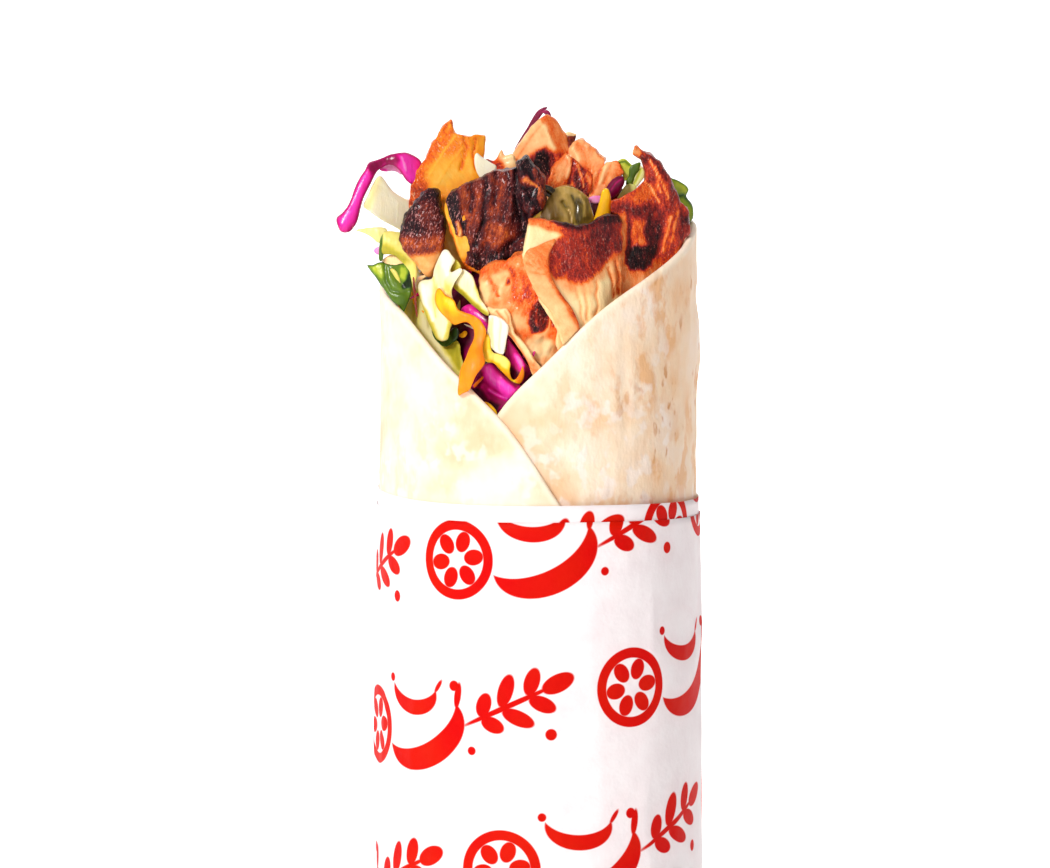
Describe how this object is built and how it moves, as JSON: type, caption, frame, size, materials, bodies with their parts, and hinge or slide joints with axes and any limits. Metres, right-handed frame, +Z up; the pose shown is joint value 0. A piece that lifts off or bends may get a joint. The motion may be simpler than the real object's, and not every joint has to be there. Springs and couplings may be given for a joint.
{
  "type": "doner kebab wrap",
  "caption": "Upright flatbread wrap of roast chicken and shredded salad, its lower part in greaseproof paper folded flat under the foot.",
  "frame": {"origin": "middle of the flat folded paper foot, on the surface it stands on", "axes": "+Z up along the roll, -Y the front, where the two flaps of bread cross, +X its right hand side"},
  "size_m": [0.0778, 0.0724, 0.2078],
  "materials": {
    "paper": "white greaseproof paper with a red print",
    "flatbread": "matt, floury, with tan toast marks",
    "salad_mix": "moist shredded salad",
    "roast_meat": "moist roast chicken, browned",
    "glazed_meat": "glazed orange roast chicken",
    "charred_meat": "dark char, glistening",
    "carrot": "raw, smooth and moist",
    "white_cabbage": "raw, smooth and moist",
    "lettuce": "raw, smooth and moist",
    "red_cabbage": "raw, smooth and moist",
    "green_leaf": "dark green, waxy",
    "cucumber": "moist flesh in a dark rind",
    "pickled_pepper": "wet and wrinkled",
    "yellow_pepper": "smooth and moist"
  },
  "bodies": {
    "root": {"paper_wrap": "paper", "flatbread": "flatbread", "salad_filling": "salad_mix", "meat_filling": "roast_meat", "carrot_ribbon": "carrot", "carrot_loop": "carrot", "rear_carrot": "carrot", "front_slice": "roast_meat", "lower_slice": "roast_meat", "pale_slice": "roast_meat", "torn_slice": "roast_meat", "right_slice": "roast_meat", "rear_slice_left": "roast_meat", "rear_slice_right": "roast_meat", "orange_slice": "glazed_meat", "dark_slice": "charred_meat", "char_chunk": "charred_meat", "cabbage_curl": "white_cabbage", "cabbage_rib": "white_cabbage", "white_cabbage_strip": "white_cabbage", "white_cabbage_wedge": "white_cabbage", "garlic_bit": "white_cabbage", "lettuce_ribbon": "lettuce", "lettuce_side": "lettuce", "lettuce_tip": "lettuce", "rear_lettuce": "lettuce", "red_cabbage_front": "red_cabbage", "red_cabbage_side": "red_cabbage", "red_cabbage_back": "red_cabbage", "red_cabbage_arch": "red_cabbage", "red_cabbage_bit": "red_cabbage", "red_cabbage_tip": "red_cabbage", "rear_red_cabbage": "red_cabbage", "onion_leaf": "green_leaf", "herb_piece": "green_leaf", "cucumber_slice": "cucumber", "pickled_pepper": "pickled_pepper", "yellow_pepper_strip": "yellow_pepper"}
  },
  "joints": []
}
